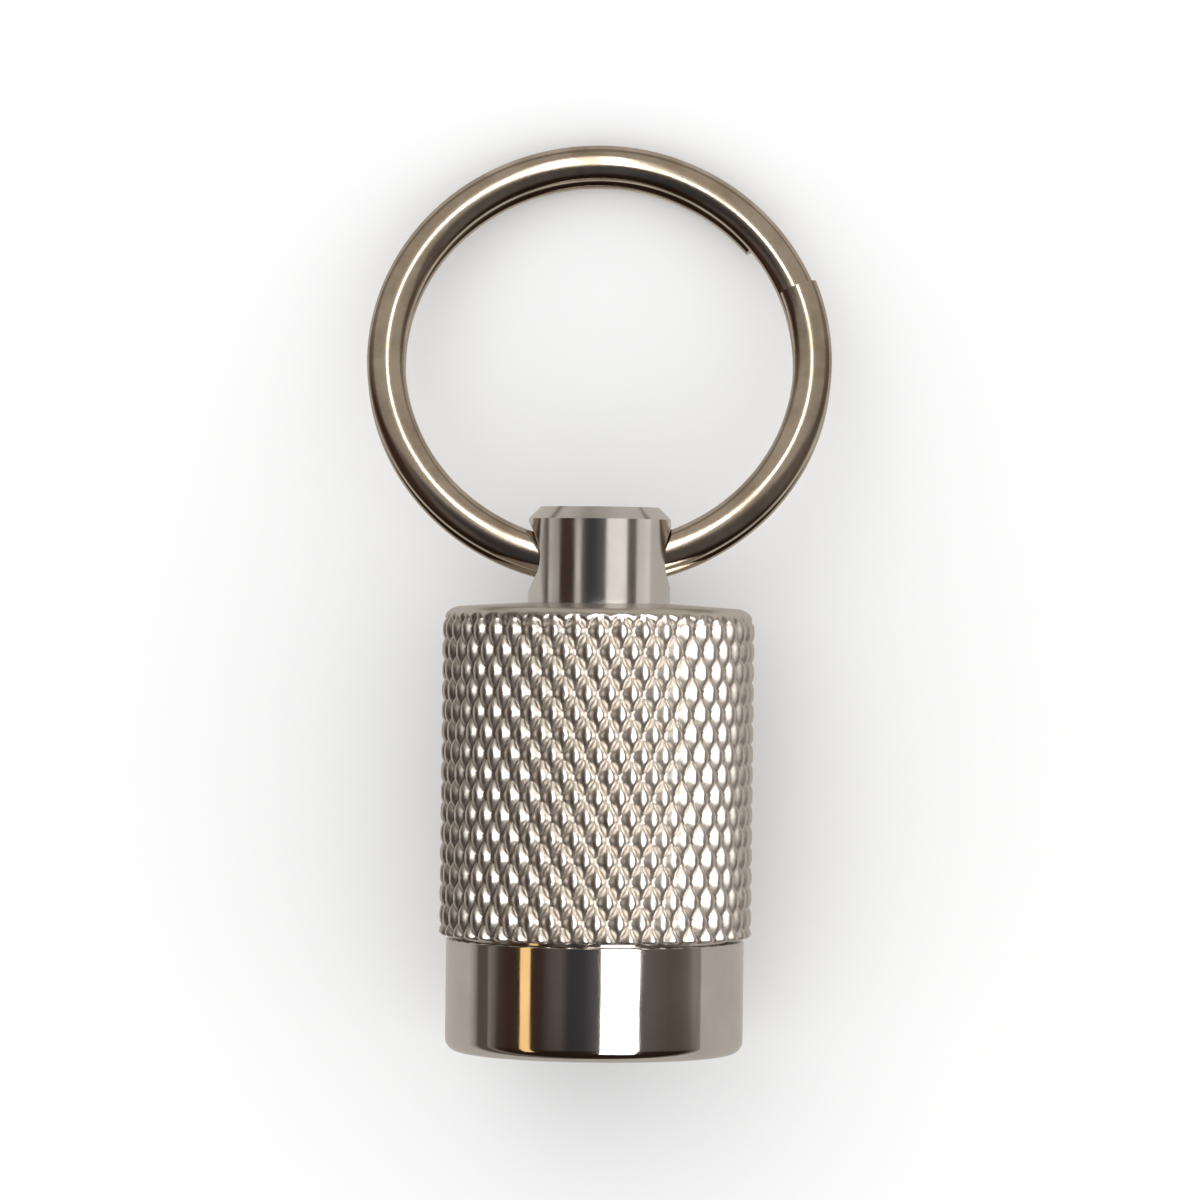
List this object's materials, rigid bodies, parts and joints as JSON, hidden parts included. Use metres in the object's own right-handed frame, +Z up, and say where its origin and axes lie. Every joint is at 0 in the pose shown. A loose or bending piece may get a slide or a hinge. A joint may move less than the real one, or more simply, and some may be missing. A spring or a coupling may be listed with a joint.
{
  "type": "keychain flashlight",
  "caption": "Pocket flashlight with a diamond-knurled barrel, a smooth twist head with a flush lens, and a drilled post that carries a split key ring.",
  "frame": {"origin": "on the table the light lies on, under the barrel's axis, halfway along the light's length with the ring leaning back onto the table", "axes": "+Y along the barrel's axis from the lens to the key ring, +Z up from the table, +X to the right seen from above with the ring at the top"},
  "size_m": [0.0254, 0.0496, 0.017],
  "materials": {
    "knurled_aluminium": "diamond knurl, satin crests with worn bright tips",
    "polished_aluminium": "turned and polished",
    "post_aluminium": "turned and polished",
    "ring_nickel": "nickel plated, rubbed by keys",
    "spring_steel": "drawn wire",
    "can_steel": "nickel-plated steel",
    "cap_steel": "pressed steel",
    "seal_nylon": "nylon",
    "cell_filling": "pressed powder",
    "tube_film": "thin film sleeve",
    "seal_rubber": "moulded rubber",
    "black_anodised": "black anodised",
    "lens_glass": "clear flat glass",
    "reflector_mirror": "vacuum metallised",
    "board_laminate": "white solder mask",
    "led_ceramic": "white ceramic",
    "led_phosphor": "yellow phosphor",
    "led_silicone": "clear silicone",
    "resistor_body": "black chip resistor",
    "contact_brass": "turned brass",
    "washer_fibre": "red vulcanised fibre"
  },
  "bodies": {
    "barrel": {"knurled_barrel": "knurled_aluminium", "key_post": "post_aluminium", "tail_spring": "spring_steel"},
    "ring": {"key_ring": "ring_nickel"},
    "cell_stack": {"cell_tube": "tube_film", "cell_1_can": "can_steel", "cell_1_core": "cell_filling", "cell_1_seal": "seal_nylon", "cell_1_cap": "cap_steel", "cell_2_can": "can_steel", "cell_2_core": "cell_filling", "cell_2_seal": "seal_nylon", "cell_2_cap": "cap_steel", "cell_3_can": "can_steel", "cell_3_core": "cell_filling", "cell_3_seal": "seal_nylon", "cell_3_cap": "cap_steel"},
    "head": {"head_shell": "polished_aluminium", "neck_o_ring": "seal_rubber", "lens_ring": "black_anodised", "lens_gasket": "seal_rubber", "lens": "lens_glass", "reflector": "reflector_mirror", "led_board": "board_laminate", "led_package": "led_ceramic", "led_die": "led_phosphor", "led_dome": "led_silicone", "resistor": "resistor_body", "contact_button": "contact_brass", "insulating_washer": "washer_fibre"}
  },
  "joints": [
    {"name": "ring_swing", "type": "hinge", "parent": "barrel", "child": "ring", "pos_m": [0, 0.00194, 0.0085], "axis": [1, 0, 0], "range_deg": [-107, 145]},
    {"name": "head_travel", "type": "slide", "parent": "barrel", "child": "cell_stack", "axis": [0, -1, 0], "range_m": [-0.00011, 0.00325], "deforming": ["tail_spring"]},
    {"name": "head_twist", "type": "hinge", "parent": "cell_stack", "child": "head", "pos_m": [0, -0.01854, 0.0085], "axis": [0, -1, 0], "range_deg": [-80, 2340]}
  ],
  "couplings": [
    {"joint": "head_travel", "follows": "head_twist", "m_per_rad": 0.000079577}
  ]
}
